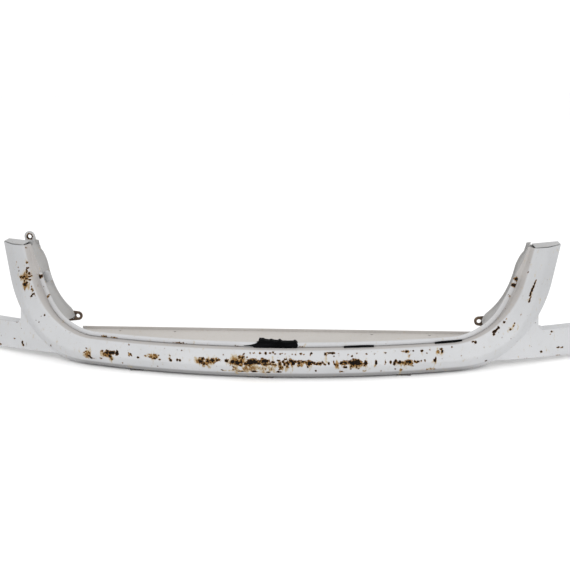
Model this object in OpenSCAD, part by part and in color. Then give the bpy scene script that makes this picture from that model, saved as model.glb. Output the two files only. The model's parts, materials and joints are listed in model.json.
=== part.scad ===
// U-shaped pressed-steel body end panel: a bowed lower beam, two leaning posts
// round a wide opening, and two wings under the lamp notches.
// +X is to the right seen from the front, -Y is the front, +Z is up.
// The origin is the middle of the bottom of the whole panel.

/* [Overall] */
// Half of the total width, out to the ends of the wings
half_width = 700; // [680:5:760]
// Height of the post tops above the lower edge of the beam
post_top_z = 230; // [220:1:240]
// How far the face has swept back at 600 mm from the middle
bow_depth = 139; // [100:1:150]
// How far the posts lean back in 250 mm of height
lean_back = 62; // [40:1:70]
// Height of the beam's lower edge above the ground
ground_gap = 5; // [4:0.5:8]

/* [Opening] */
// Half length of the straight lower edge of the opening
straight_half = 370; // [350:5:390]
// Radius of the opening's corners
corner_r = 160; // [150:1:170]
// Height of the opening's lower edge above the beam's lower edge
sill_z = 53; // [50:1:58]
// Outward lean of the posts from upright, in degrees
post_lean = 16.5; // [14:0.5:18]

/* [Face] */
// Thickness of the pressed sheets
sheet = 1.5; // [1.2:0.1:2]
// Distance from the opening to the ridge on the beam
ridge_beam = 27; // [24:1:30]
// The same distance in the middle of a corner
ridge_corner = 36; // [32:1:40]
// The same distance on the posts
ridge_post = 29; // [26:1:32]
// Width of the face on the posts
face_post = 59; // [56:1:62]
// How far the ridge stands proud of the face
ridge_rise = 3; // [1:0.5:5]
// How far the outer edge is set back
edge_setback = 13; // [10:1:16]

/* [Wings] */
// Height of the wing's upper edge
wing_top_z = 62; // [58:1:66]
// Height of the wing's lower edge at its outer end
wing_low_z = 2; // [1:1:8]
// Radius in the corner of the lamp notch
notch_r = 12; // [8:1:16]
// Depth of the flange that the fender bolts to
fender_reach = 24; // [20:1:30]
// Distance between the two fender bolts
fender_pitch = 32; // [28:1:36]

/* [Inner panels] */
// Height of the shelf behind the opening's lower edge
shelf_z = 50; // [48:0.5:51]
// Distance from the front of the beam to its rear wall
rear_y = 140; // [130:1:150]
// Half length of the shelf
shelf_half = 416; // [400:1:430]
// Depth of the boxed part of the posts
post_box = 40; // [36:1:44]
// Depth of the gussets behind the face
gusset_depth = 85; // [80:1:92]

/* [Fixings] */
// Diameter of the bolt holes in the tabs and the bumper plates
bolt_hole = 9; // [8.4:0.1:9]
// Width of the bare tabs
tab_w = 20; // [18:0.5:22]
// Width of the tab on top of the left post
ear_w = 24; // [22:0.5:26]
// Thickness of the bare tabs
tab_t = 3; // [2:0.5:4]
// Distance of a bumper plate from the middle
bumper_x = 300; // [280:5:320]
// Distance between the two bolts of a bumper plate
bumper_pitch = 50; // [40:1:60]

/* [Hidden] */

white = [0.86, 0.87, 0.88];
cream = [0.85, 0.82, 0.77];
grey = [0.66, 0.65, 0.64];
rust = [0.36, 0.25, 0.17];
rubber = [0.05, 0.05, 0.05];
zinc = [0.30, 0.30, 0.31];

$fn = 48;
arc_steps = 22;
beam_steps = 20;
post_steps = 7;
sweep = 90 - post_lean;
arc_z = sill_z + corner_r;
wing_first = 7;
wing_last = 17;
wing_steps = 10;
y_middle = 118.15;
tiny = 0.01;

function smooth(t) = t <= 0 ? 0 : t >= 1 ? 1 : t * t * (3 - 2 * t);
function mix(a, b, t) = a + (b - a) * t;
function flip(p) = [-p[0], p[1], p[2]];

// Depth of the face at a place seen from the front
function face_y(x, z) = bow_depth * pow(x / 600, 2) + lean_back * (z - sill_z) / 250;

// A station on the opening's edge: [x, z, outward x, outward z, corner turn 0..1, post 0..1]
function beam_station(t) = [straight_half * t, sill_z, 0, -1, 0, 0];
function arc_station(t) = [straight_half + corner_r * sin(sweep * t), arc_z - corner_r * cos(sweep * t),
    sin(sweep * t), -cos(sweep * t), t, 0];
post_x = straight_half + corner_r * sin(sweep);
post_z = arc_z - corner_r * cos(sweep);
function post_station(t) = [post_x + (post_top_z - post_z) * tan(post_lean) * t,
    mix(post_z, post_top_z, t), mix(cos(post_lean), 1, t), -sin(post_lean) * (1 - t), 1, t];

half_stations = concat([for (i = [0:beam_steps]) beam_station(i / beam_steps)],
    [for (i = [1:arc_steps]) arc_station(i / arc_steps)],
    [for (i = [1:post_steps]) post_station(i / post_steps)]);
half_count = len(half_stations);
last = half_count - 1;

// A point at a station, a distance outward from the opening and a depth behind the face
function at(s, out, depth) = let (x = s[0] + out * s[2], z = s[1] + out * s[3])
    [x, face_y(x, z) + depth, z];

// How far a station has come round the corner, for everything that changes shape there
function turned_in(s) = smooth(s[4] * 1.7);
function ridge_out(s) = mix(ridge_beam, ridge_post, smooth(s[4] * 1.6 - 0.6))
    + (ridge_corner - ridge_beam) * pow(sin(180 * min(1, s[4])), 2);
function edge_out(s) = mix(sill_z, face_post, smooth(s[4] * 3));
function up_the_corner(s) = smooth(s[4] * 2.2 - 0.8);
function gutter_in(s) = mix(mix(1.5, 6, turned_in(s)) + 5 * up_the_corner(s), 7, smooth(s[5] * 2.2 - 0.2));
function gutter_back(s) = mix(15, 19, turned_in(s));
function flange_in(s) = mix(0, 10, turned_in(s)) - 6 * s[5];
function flange_back(s) = mix(14, 2, turned_in(s));

// The face's section at a station, from the flange inside the opening to the outer edge
function section(s) = let (r = ridge_out(s), e = edge_out(s), g = gutter_in(s), b = gutter_back(s))
    [at(s, -g - flange_in(s), b + flange_back(s)),
     at(s, -g, b),
     at(s, -mix(0.5, 2, s[4]), 3.2),
     at(s, 1.2, 0.6),
     at(s, 4, 0),
     at(s, r * 0.55, -ridge_rise * 0.6),
     at(s, r - 3, -ridge_rise * 0.97),
     at(s, r, -ridge_rise),
     at(s, r + 3, -ridge_rise * 0.75),
     at(s, mix(r, e, 0.55), edge_setback * 0.35),
     at(s, e - 2, edge_setback - 1.6),
     at(s, e, edge_setback)];

// Where each point of the section moves to on the sheet's inner side
function section_inner(s) = let (r = ridge_out(s), e = edge_out(s), g = gutter_in(s), b = gutter_back(s),
        beam = 1 - turned_in(s))
    [at(s, -g - flange_in(s) + sheet * beam, b + flange_back(s) + sheet * (1 - beam)),
     at(s, -g + sheet, b + sheet * (1 - beam)),
     at(s, -mix(0.5, 2, s[4]) + sheet, 3.2 + sheet * 0.6),
     at(s, 1.2 + sheet * 0.8, 0.6 + sheet),
     at(s, 4, sheet),
     at(s, r * 0.55, sheet - ridge_rise * 0.6),
     at(s, r - 3, sheet - ridge_rise * 0.97),
     at(s, r, sheet - ridge_rise),
     at(s, r + 3, sheet - ridge_rise * 0.75),
     at(s, mix(r, e, 0.55), sheet + edge_setback * 0.35),
     at(s, e - 2, sheet + edge_setback - 1.6),
     at(s, e, sheet + edge_setback)];
rows = 12;

function both_sides(right) = concat([for (i = [len(right) - 1:-1:1]) [for (p = right[i]) flip(p)]], right);
band_front = both_sides([for (s = half_stations) section(s)]);
band_back = both_sides([for (s = half_stations) section_inner(s)]);
stations = len(band_front);

// Outline of a wing: the upper edge runs down the notch, round its corner and out to the end
wing_top_at = half_stations[beam_steps + wing_last];
wing_low_at = half_stations[beam_steps + wing_first];
function edge_xz(s) = [s[0] + edge_out(s) * s[2], s[1] + edge_out(s) * s[3]];
notch_xz = edge_xz(wing_top_at);
kink_xz = edge_xz(wing_low_at);
wing_end_z = wing_top_z - 3;
function wing_run(l) = (l - 4) / (wing_steps - 4);
function wing_out(l) = l <= 4 ? l * 0.04 : mix(0.16, 1, wing_run(l));
function notch_round(angle) = notch_xz[0] * [1, 0] + wing_top_z * [0, 1]
    + notch_r * [1 - cos(angle), 1 - sin(angle)];
function wing_upper(l) =
    l <= 2 ? [notch_xz[0], mix(notch_xz[1], wing_top_z + notch_r, l / 2)]
    : l <= 4 ? notch_round(45 * (l - 2))
    : [mix(notch_xz[0] + notch_r, half_width, wing_run(l)), mix(wing_top_z, wing_end_z, wing_run(l))];
function wing_lower(l) = mix(kink_xz, [half_width, wing_low_z], wing_out(l));
function wing_xz(k, l) = let (a = k / (wing_last - wing_first), b = wing_out(l),
        root = edge_xz(half_stations[beam_steps + wing_last - k]),
        tip = [half_width, mix(wing_end_z, wing_low_z, a)])
    (1 - a) * wing_upper(l) + a * wing_lower(l) + (1 - b) * root + b * tip
    - (1 - a) * (1 - b) * notch_xz - (1 - a) * b * [half_width, wing_end_z]
    - a * (1 - b) * kink_xz - a * b * [half_width, wing_low_z];
function wing_point(k, l, side, depth) = let (q = wing_xz(k, l))
    [side * q[0], face_y(q[0], q[1]) + edge_setback + depth, q[1]];
wing_rows = wing_last - wing_first;

// Two triangles for a four-cornered patch, clockwise from outside
function patch(a, b, c, d) = [[a, b, c], [a, c, d]];

// A closed sheet between two grids of points
module sheet_body(front, back) {
    n = len(front);
    m = len(front[0]);
    all = n * m;
    points = concat([for (row = front) each row], [for (row = back) each row]);
    faces = concat(
        [for (i = [0:n - 2], j = [0:m - 2]) each patch(i * m + j, (i + 1) * m + j,
            (i + 1) * m + j + 1, i * m + j + 1)],
        [for (i = [0:n - 2], j = [0:m - 2]) each patch(all + i * m + j + 1, all + (i + 1) * m + j + 1,
            all + (i + 1) * m + j, all + i * m + j)],
        [for (i = [0:n - 2]) each patch(all + i * m, all + (i + 1) * m, (i + 1) * m, i * m)],
        [for (i = [0:n - 2]) each patch(i * m + m - 1, (i + 1) * m + m - 1,
            all + (i + 1) * m + m - 1, all + i * m + m - 1)],
        [for (j = [0:m - 2]) each patch(j, j + 1, all + j + 1, all + j)],
        [for (j = [0:m - 2]) each patch(all + (n - 1) * m + j, all + (n - 1) * m + j + 1,
            (n - 1) * m + j + 1, (n - 1) * m + j)]);
    polyhedron(points, faces, convexity = 10);
}

// A closed bar: rings of points along a path, joined and capped at both ends
module bar_body(rings) {
    n = len(rings);
    m = len(rings[0]);
    faces = concat(
        [for (i = [0:n - 2], j = [0:m - 1]) each patch(i * m + j, (i + 1) * m + j,
            (i + 1) * m + (j + 1) % m, i * m + (j + 1) % m)],
        [[for (j = [0:m - 1]) j]],
        [[for (j = [m - 1:-1:0]) (n - 1) * m + j]]);
    polyhedron([for (ring = rings) each ring], faces, convexity = 10);
}

module placed() {
    translate([0, -y_middle, ground_gap]) children();
}

module on_side(side) {
    if (side > 0) children();
    else mirror([1, 0, 0]) children();
}

// The white pressing: the band round the opening and both wings as one sheet
module outer_skin() {
    half = stations * rows;
    per_wing = (wing_rows + 1) * wing_steps;
    all = half + 2 * per_wing;
    mid = half_count - 1;
    function band(i, j) = i * rows + j;
    // wing 0 is the right one, wing 1 the left one; column 0 is the band's own edge
    function wing(w, k, l) = let (s = beam_steps + wing_last - k)
        l == 0 ? band(w == 0 ? mid + s : mid - s, rows - 1)
        : half + w * per_wing + k * wing_steps + l - 1;
    first_gap = beam_steps + wing_first;
    last_gap = beam_steps + wing_last;
    function covered(i) = let (s = min(abs(i - mid), abs(i + 1 - mid)))
        s >= first_gap && s < last_gap;
    function wing_points(depth) = concat(
        [for (k = [0:wing_rows], l = [1:wing_steps]) wing_point(k, l, 1, depth)],
        [for (k = [0:wing_rows], l = [1:wing_steps]) wing_point(k, l, -1, depth)]);
    function turned(quads) = [for (q = quads) [q[2], q[1], q[0]]];
    function both_faces(quads) = concat(quads, [for (q = quads) [all + q[2], all + q[1], all + q[0]]]);
    function wall(a, b) = patch(a, b, all + b, all + a);
    band_cells = [for (i = [0:stations - 2], j = [0:rows - 2])
        each patch(band(i, j), band(i + 1, j), band(i + 1, j + 1), band(i, j + 1))];
    right_cells = [for (k = [0:wing_rows - 1], l = [0:wing_steps - 1])
        each patch(wing(0, k, l), wing(0, k, l + 1), wing(0, k + 1, l + 1), wing(0, k + 1, l))];
    left_cells = turned([for (k = [0:wing_rows - 1], l = [0:wing_steps - 1])
        each patch(wing(1, k, l), wing(1, k, l + 1), wing(1, k + 1, l + 1), wing(1, k + 1, l))]);
    walls = concat(
        [for (i = [0:stations - 2]) each wall(band(i + 1, 0), band(i, 0))],
        [for (i = [0:stations - 2]) if (!covered(i)) each wall(band(i, rows - 1), band(i + 1, rows - 1))],
        [for (j = [0:rows - 2]) each wall(band(0, j), band(0, j + 1))],
        [for (j = [0:rows - 2]) each wall(band(stations - 1, j + 1), band(stations - 1, j))],
        [for (l = [0:wing_steps - 1]) each wall(wing(0, 0, l + 1), wing(0, 0, l))],
        [for (l = [0:wing_steps - 1]) each wall(wing(0, wing_rows, l), wing(0, wing_rows, l + 1))],
        [for (k = [0:wing_rows - 1]) each wall(wing(0, k + 1, wing_steps), wing(0, k, wing_steps))],
        [for (l = [0:wing_steps - 1]) each wall(wing(1, 0, l), wing(1, 0, l + 1))],
        [for (l = [0:wing_steps - 1]) each wall(wing(1, wing_rows, l + 1), wing(1, wing_rows, l))],
        [for (k = [0:wing_rows - 1]) each wall(wing(1, k, wing_steps), wing(1, k + 1, wing_steps))]);
    color(white) placed() polyhedron(
        concat([for (row = band_front) each row], wing_points(0),
            [for (row = band_back) each row], wing_points(sheet)),
        concat(both_faces(concat(band_cells, right_cells, left_cells)), walls), convexity = 12);
}

// The raised lip that the rubber seal sits on, ending halfway up each post
lip_last = beam_steps + arc_steps;
function lip_in(s) = mix(6, 11, smooth(s[4] * 2)) + 9 * up_the_corner(s);
function lip_back(s) = mix(21, 17, turned_in(s));
function lip_half_w(s) = mix(4.2, 5.2, turned_in(s));
function lip_half_d(s) = mix(4, 2.8, turned_in(s));
function lip_ring(s) = [for (a = [0:45:315])
    at(s, -lip_in(s) + lip_half_w(s) * cos(a), lip_back(s) + lip_half_d(s) * sin(a))];
module seal_flange() {
    right = [for (i = [0:lip_last]) lip_ring(half_stations[i])];
    left = [for (i = [lip_last:-1:1]) [for (p = right[i]) flip(p)]];
    color(white) placed() bar_body(concat(left, right));
}

// The cream shelf, with its front edge following the beam
function shelf_front(x) = bow_depth * pow(x / 600, 2) + 14;
module shelf_outline(inset) {
    polygon(concat([for (i = [-24:24]) let (x = (shelf_half - inset) * i / 24) [x, shelf_front(x) + inset]],
        [[shelf_half - inset, rear_y - inset], [inset - shelf_half, rear_y - inset]]));
}
shelf_hole_x = [-330, -210, 210, 330];
shelf_edge_rise = 5;
module inner_panel() {
    color(cream) placed() union() {
        translate([0, 0, shelf_z - sheet]) linear_extrude(sheet) difference() {
            shelf_outline(0);
            for (x = shelf_hole_x) translate([x, rear_y - 14]) circle(d = 6);
        }
        // upturned rear edge
        translate([-shelf_half, rear_y - 2, shelf_z - tiny]) cube([2 * shelf_half, 2, shelf_edge_rise]);
    }
}

// The upright wall that closes the beam box at the back
wall_hole_x = [-180, -90, 0, 90, 180];
wall_hole_z = 22;
wall_foot = 12;
bumper_z = 24;
module rear_wall() {
    color(cream) placed() difference() {
        translate([-shelf_half, rear_y, -ground_gap]) union() {
            cube([2 * shelf_half, sheet, shelf_z + ground_gap + shelf_edge_rise]);
            // foot turned back along the bottom
            cube([2 * shelf_half, wall_foot, sheet]);
        }
        for (x = wall_hole_x) translate([x, rear_y - 1, wall_hole_z]) rotate([-90, 0, 0])
            cylinder(d = 26, h = sheet + 2);
        bumper_holes();
    }
}
module bumper_holes() {
    for (side = [-1, 1], step = [-0.5, 0.5])
        translate([side * bumper_x + step * bumper_pitch, rear_y - 10, bumper_z]) rotate([-90, 0, 0])
            cylinder(d = bolt_hole, h = 20);
}

// The plate that closes the beam box underneath
drain_hole_x = [-250, -120, 120, 250];
drain_hole_y = 88;
module lower_closing_plate() {
    half = shelf_half - 16;
    back = rear_y - 0.2;
    color(grey) placed() linear_extrude(sheet) difference() {
        polygon(concat([for (i = [-24:24]) let (x = half * i / 24) [x, bow_depth * pow(x / 600, 2) + 5]],
            [[half, back], [-half, back]]));
        for (x = drain_hole_x) translate([x, drain_hole_y]) circle(d = 14);
    }
}

// The flange turned back round a lamp notch, from the post top to the end of the wing
function notch_run(depth, inset) = concat(
    [for (i = [last:-1:beam_steps + wing_last]) let (q = edge_xz(half_stations[i]))
        [q[0] - inset, face_y(q[0], q[1]) + depth, q[1]]],
    [for (l = [1:wing_steps]) let (q = wing_upper(l), down = l <= 2 ? 0 : l == 3 ? 0.7 : 1)
        [q[0] - inset * (1 - down), face_y(q[0], q[1]) + depth, q[1] - inset * down]]);
module lamp_flange(side) {
    front = edge_setback + sheet + 0.1;
    a = notch_run(front, 0);
    b = notch_run(post_box, 0);
    c = notch_run(front, sheet);
    d = notch_run(post_box, sheet);
    color(white) placed() on_side(side) sheet_body([for (i = [0:len(a) - 1]) [b[i], a[i]]],
        [for (i = [0:len(a) - 1]) [d[i], c[i]]]);
}
module left_lamp_flange() { lamp_flange(-1); }
module right_lamp_flange() { lamp_flange(1); }

// How far inward of the opening's edge the gusset lies at a depth
function gusset_front(s) = gutter_back(s) + flange_back(s) * 0.6 + sheet + 1;
gusset_rear_in = 5;
gusset_bulge = 3;
gusset_taper = 12;
gusset_foot = 9;
function gusset_rear(s) = gusset_rear_in - gusset_taper * smooth(s[5] * 1.1 - 0.1)
    + gusset_bulge * smooth(s[4] * 2 - 1) * (1 - smooth(s[5] * 1.5 - 0.5))
    - gusset_foot * (1 - smooth(s[4] * 7 - 2.2));
function gusset_front_in(s) = gutter_in(s) + flange_in(s) * 0.6 - 3 * (1 - turned_in(s));
function gusset_in(s, depth) = mix(gusset_front_in(s), gusset_rear(s),
    smooth((depth - gusset_front(s)) / (gusset_depth - gusset_front(s))));

// The plate that closes a post at the back, from the corner to the top
back_first = beam_steps + 9;
module post_back(side) {
    function row(s, depth) = [at(s, sheet + 0.1 - gusset_in(s, post_box), post_box + depth),
        at(s, 20, post_box + depth),
        at(s, 40, post_box + depth), at(s, edge_out(s) - 2.5, post_box + depth)];
    color(grey) placed() on_side(side) sheet_body(
        [for (i = [back_first:last]) row(half_stations[i], -sheet)],
        [for (i = [back_first:last]) row(half_stations[i], 0)]);
}
module left_post_back() { post_back(-1); }
module right_post_back() { post_back(1); }

// The lid on top of a post
module post_cap(side) {
    s = half_stations[last];
    inner = at(s, 0.5, 2.5);
    ridge = at(s, ridge_post, 1);
    outer = at(s, edge_out(s) - 0.5, edge_setback + 2);
    color(white) placed() on_side(side) translate([0, 0, post_top_z]) linear_extrude(sheet)
        polygon([[inner[0], inner[1]], [ridge[0], ridge[1]], [outer[0], outer[1]],
            [outer[0], outer[1] + post_box - edge_setback], [inner[0], inner[1] + post_box]]);
}
module left_post_cap() { post_cap(-1); }
module right_post_cap() { post_cap(1); }

// The deep plate inside a post that carries the bare tabs, with its rear edge turned outward
gusset_edge = 8;
gusset_first = beam_steps + 8;
module gusset(side) {
    function row(s, turn) = [at(s, turn - gusset_in(s, gusset_front(s)), gusset_front(s)),
        at(s, turn - gusset_in(s, post_box), post_box),
        at(s, turn - gusset_in(s, gusset_depth), gusset_depth - turn),
        at(s, gusset_edge, gusset_depth - turn)];
    color(grey) placed() on_side(side) sheet_body(
        [for (i = [gusset_first:last - 1]) row(half_stations[i], sheet)],
        [for (i = [gusset_first:last - 1]) row(half_stations[i], 0)]);
}
module left_gusset() { gusset(-1); }
module right_gusset() { gusset(1); }

// A bare strap with a round end and a bolt hole, standing in an upright plane
module strap(length, width, root_w) {
    rotate([90, 0, 0]) difference() {
        linear_extrude(tab_t) polygon(concat(
            [for (a = [90:15:270]) width / 2 * [cos(a), sin(a)]],
            [[length, -root_w / 2], [length, root_w / 2]]));
        translate([0, 0, -1]) cylinder(d = bolt_hole, h = tab_t + 2);
    }
}
lower_tab_at = [436, 172, 69];
lower_tab_length = 24;
upper_tab_at = [560, 246, 232];
upper_tab_length = 30;
upper_tab_turn = 99;
module lower_tab(side) {
    color(rust) placed() on_side(side) translate(lower_tab_at) strap(lower_tab_length, tab_w, tab_w + 5);
}
module left_lower_tab() { lower_tab(-1); }
module right_lower_tab() { lower_tab(1); }
module left_upper_tab() {
    color(rust) placed() on_side(-1) translate(upper_tab_at) rotate([0, upper_tab_turn, 0])
        strap(upper_tab_length, ear_w, ear_w + 2);
}

// The channel behind a wing's lower edge
module wing_rail(side) {
    reach = 14;
    height = 16;
    behind = edge_setback + sheet + 0.15;
    function row(l, in) = let (q = wing_lower(l), low = q[1] + 3)
        [[q[0], face_y(q[0], low + height) + behind + in, low + height],
         [q[0], face_y(q[0], low + in) + behind + in, low + in],
         [q[0], face_y(q[0], low + in) + behind + reach, low + in]];
    color(grey) placed() on_side(side) sheet_body([for (l = [1:wing_steps - 1]) row(l, 0)],
        [for (l = [1:wing_steps - 1]) row(l, sheet)]);
}
module left_wing_rail() { wing_rail(-1); }
module right_wing_rail() { wing_rail(1); }

// The end flange that the fender bolts to
fender_y = face_y(half_width, 30) + edge_setback + sheet;
fender_hole = 7;
fender_hole_z = 32;
module fender_flange(side) {
    color(white) placed() on_side(side) difference() {
        translate([half_width - 2, fender_y, wing_low_z + 2])
            cube([2, fender_reach, wing_top_z - wing_low_z - 6]);
        for (step = [-0.5, 0.5])
            translate([half_width - 5, fender_y + fender_reach * 0.58, fender_hole_z + step * fender_pitch])
                rotate([0, 90, 0]) cylinder(d = fender_hole, h = 10);
    }
}
module left_fender_flange() { fender_flange(-1); }
module right_fender_flange() { fender_flange(1); }

// The thick plates behind the rear wall that take the bumper bolts
bumper_plate_w = 88;
bumper_plate_h = 36;
module bumper_plate(side) {
    color(rust) placed() difference() {
        translate([side * bumper_x - bumper_plate_w / 2, rear_y + sheet, bumper_z - bumper_plate_h / 2])
            cube([bumper_plate_w, 3, bumper_plate_h]);
        bumper_holes();
    }
}
module left_bumper_plate() { bumper_plate(-1); }
module right_bumper_plate() { bumper_plate(1); }

// Hexagon nuts welded inside the rear wall
module weld_nuts() {
    color(zinc) placed() for (side = [-1, 1], step = [-0.5, 0.5])
        translate([side * bumper_x + step * bumper_pitch, rear_y, bumper_z]) rotate([90, 0, 0])
            difference() {
                cylinder(d = 15, h = 6.5, $fn = 6);
                translate([0, 0, -1]) cylinder(d = bolt_hole, h = 9);
            }
}

// A station a length along the opening's edge from the middle
arc_length = corner_r * sweep * PI / 180;
function station_at(length) = length <= straight_half ? beam_station(length / straight_half)
    : arc_station((length - straight_half) / arc_length);

// What is left of the rubber seal: a torn lump gripping the lip, and two strips in front of it
gap = 0.2;
gutter_floor = 2.2;
function lump_ring(length, rise) = let (s = station_at(length), top = lip_in(s) + lip_half_w(s) + gap,
        front = lip_back(s) - lip_half_d(s) - gap, back = lip_back(s) + lip_half_d(s) + gap)
    [at(s, -gutter_floor, front - 3.4), at(s, -top - rise * 0.9, front - 2.4), at(s, -top - rise, back + 2),
     at(s, -lip_in(s), back + 2), at(s, -lip_in(s), back), at(s, -top, back), at(s, -top, front),
     at(s, -gutter_floor, front)];
// Pairs of length along the edge and height above the lip
lump = [[-43, 0.4], [-28, 0.6], [-20, 1.5], [-17, 2], [-15, 8], [-8, 7.4], [0, 4.6], [8, 5.6], [14, 4],
    [22, 3.6], [26, 5.6], [31, 2.6], [42, 2.4], [52, 2.6], [58, 4], [62, 1.5]];
module seal_remnant_centre() {
    color(rubber) placed() bar_body([for (p = lump) lump_ring(p[0], p[1])]);
}
function strip_ring(length, thick) = let (s = station_at(length), front = lip_back(s) - lip_half_d(s) - gap)
    [at(s, -gutter_floor, front - 4.5), at(s, -gutter_floor - thick, front - 4),
     at(s, -gutter_floor - thick, front), at(s, -gutter_floor, front)];
module seal_strip(lengths, thicknesses) {
    color(rubber) placed() bar_body([for (i = [0:len(lengths) - 1]) strip_ring(lengths[i], thicknesses[i])]);
}
module seal_strip_middle() { seal_strip([154, 168, 184, 200, 214], [2.2, 2.8, 3, 3, 2.4]); }
module seal_strip_right() { seal_strip([336, 350, 362, 376, 392], [2.2, 3, 3.2, 3, 2]); }

// Spring clips pushed onto the beam's lower edge
clip_x = [-272, 0, 274];
clip_w = 28;
clip_l = 18;
module clip_nuts() {
    color(zinc) placed() for (x = clip_x) translate([x - clip_w / 2, face_y(x, 0) + 16, -ground_gap])
        difference() {
            cube([clip_w, clip_l, ground_gap - 0.1]);
            translate([clip_w / 2, clip_l / 2 + 1, -1]) cylinder(d = 5.5, h = ground_gap + 2);
        }
}

outer_skin();
seal_flange();
inner_panel();
rear_wall();
lower_closing_plate();
left_lamp_flange();
right_lamp_flange();
left_post_back();
right_post_back();
left_post_cap();
right_post_cap();
left_gusset();
right_gusset();
left_upper_tab();
left_lower_tab();
right_lower_tab();
left_wing_rail();
right_wing_rail();
left_fender_flange();
right_fender_flange();
left_bumper_plate();
right_bumper_plate();
weld_nuts();
seal_remnant_centre();
seal_strip_middle();
seal_strip_right();
clip_nuts();
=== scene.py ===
"""Looks for the U-shaped body end panel: rusty white paint, rubber remnants, camera and light."""
import json
import math

import bmesh
import bpy
import numpy as np
from mathutils import Matrix, Vector


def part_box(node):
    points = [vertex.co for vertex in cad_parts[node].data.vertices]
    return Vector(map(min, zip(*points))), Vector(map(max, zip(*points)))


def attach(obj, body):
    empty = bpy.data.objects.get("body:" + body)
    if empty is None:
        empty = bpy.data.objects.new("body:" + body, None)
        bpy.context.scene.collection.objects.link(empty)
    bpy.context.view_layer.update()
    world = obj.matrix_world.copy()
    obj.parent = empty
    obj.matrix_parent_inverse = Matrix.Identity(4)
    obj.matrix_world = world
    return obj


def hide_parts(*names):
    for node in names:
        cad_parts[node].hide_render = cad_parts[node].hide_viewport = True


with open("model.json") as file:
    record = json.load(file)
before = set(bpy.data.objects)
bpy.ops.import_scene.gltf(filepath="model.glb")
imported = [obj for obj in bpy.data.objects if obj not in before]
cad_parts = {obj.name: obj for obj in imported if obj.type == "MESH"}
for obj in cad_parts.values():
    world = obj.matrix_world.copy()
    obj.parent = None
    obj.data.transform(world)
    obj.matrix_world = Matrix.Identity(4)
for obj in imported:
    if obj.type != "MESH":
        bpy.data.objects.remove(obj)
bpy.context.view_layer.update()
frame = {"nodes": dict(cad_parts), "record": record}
nodes = frame["nodes"]

# ---------------------------------------------------------------- driving dimensions, millimetres
HALF_WIDTH = 700
POST_TOP_Z = 230
BOW_DEPTH = 139
BOW_REACH = 600
LEAN_BACK = 62
LEAN_HEIGHT = 250
STRAIGHT_HALF = 370
CORNER_R = 160
SILL_Z = 53
POST_LEAN = math.radians(16.5)
SHEET = 1.5
RIDGE_BEAM = 27
RIDGE_CORNER = 36
RIDGE_POST = 29
FACE_POST = 59
RIDGE_RISE = 3
EDGE_SETBACK = 13
WING_TOP_Z = 62
WING_LOW_Z = 2
NOTCH_R = 12
REAR_Y = 140
GUSSET_DEPTH = 85

MM = 0.001
Y_MIDDLE = REAR_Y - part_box("rear_wall")[0].y / MM
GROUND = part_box("outer_skin")[0].z / MM
SWEEP = math.pi / 2 - POST_LEAN
ARC_Z = SILL_Z + CORNER_R
POST_Z = ARC_Z - CORNER_R * math.cos(SWEEP)
ARC_STEPS_CAD = 22
WING_FIRST = 7 / ARC_STEPS_CAD
WING_LAST = 17 / ARC_STEPS_CAD


def smooth(t):
    t = np.clip(t, 0, 1)
    return t * t * (3 - 2 * t)


def mix(a, b, t):
    return a + (b - a) * t


def face_y(x, z):
    return BOW_DEPTH * (x / BOW_REACH) ** 2 + LEAN_BACK * (z - SILL_Z) / LEAN_HEIGHT


class Path:
    """Stations along the opening's edge, given by signed length from the middle, in millimetres.

    At a station, turn runs from 0 to 1 round the corner and post from 0 to 1 up the post. The other
    methods give the section's sizes there: distances out from the edge, in from it, or back from the face.
    """

    ARC = CORNER_R * SWEEP
    POST = (POST_TOP_Z - POST_Z) / math.cos(POST_LEAN)
    HALF = STRAIGHT_HALF + ARC + POST

    def __init__(self, length):
        self.length = np.asarray(length, float)
        side = np.where(self.length < 0, -1.0, 1.0)
        run = np.abs(self.length)
        self.turn = np.clip((run - STRAIGHT_HALF) / self.ARC, 0, 1)
        self.post = np.clip((run - STRAIGHT_HALF - self.ARC) / self.POST, 0, 1)
        angle = self.turn * SWEEP
        self.x = np.minimum(run, STRAIGHT_HALF) + CORNER_R * np.sin(angle)
        self.x = self.x + (POST_TOP_Z - POST_Z) * math.tan(POST_LEAN) * self.post
        self.z = ARC_Z - CORNER_R * np.cos(angle) + (POST_TOP_Z - POST_Z) * self.post
        self.nx = mix(np.sin(angle), 1, self.post)
        self.nz = -np.cos(angle) * (1 - self.post)
        self.side = side

    def at(self, out, depth):
        x = self.x + out * self.nx
        z = self.z + out * self.nz
        return np.stack([self.side * x, face_y(x, z) + depth, z], -1)

    def ridge(self):
        bump = (RIDGE_CORNER - RIDGE_BEAM) * np.sin(np.pi * self.turn) ** 2
        return mix(RIDGE_BEAM, RIDGE_POST, smooth(self.turn * 1.6 - 0.6)) + bump

    def edge(self):
        return mix(SILL_Z, FACE_POST, smooth(self.turn * 3))

    def blend(self):
        return smooth(self.turn * 1.7)

    def gutter_in(self):
        inward = mix(1.5, 6, self.blend()) + 5 * self.upper()
        return mix(inward, 7, smooth(self.post * 2.2 - 0.2))

    def upper(self):
        return smooth(self.turn * 2.2 - 0.8)

    def gutter_back(self):
        return mix(15, 19, self.blend())

    def flange_in(self):
        return mix(0, 10, self.blend()) - 6 * self.post

    def flange_back(self):
        return mix(14, 2, self.blend())

    def lip_in(self):
        return mix(6, 11, smooth(self.turn * 2)) + 9 * self.upper()

    def lip_back(self):
        return mix(21, 17, self.blend())

    def lip_half_w(self):
        return mix(4.2, 5.2, self.blend())

    def lip_half_d(self):
        return mix(4, 2.8, self.blend())


# ---------------------------------------------------------------- mesh helpers
CREASE = math.radians(38)


def to_frame(points):
    """Design millimetres to the row frame's metres."""
    return (np.asarray(points, float) + np.array([0, -Y_MIDDLE, GROUND])) * MM


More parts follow.
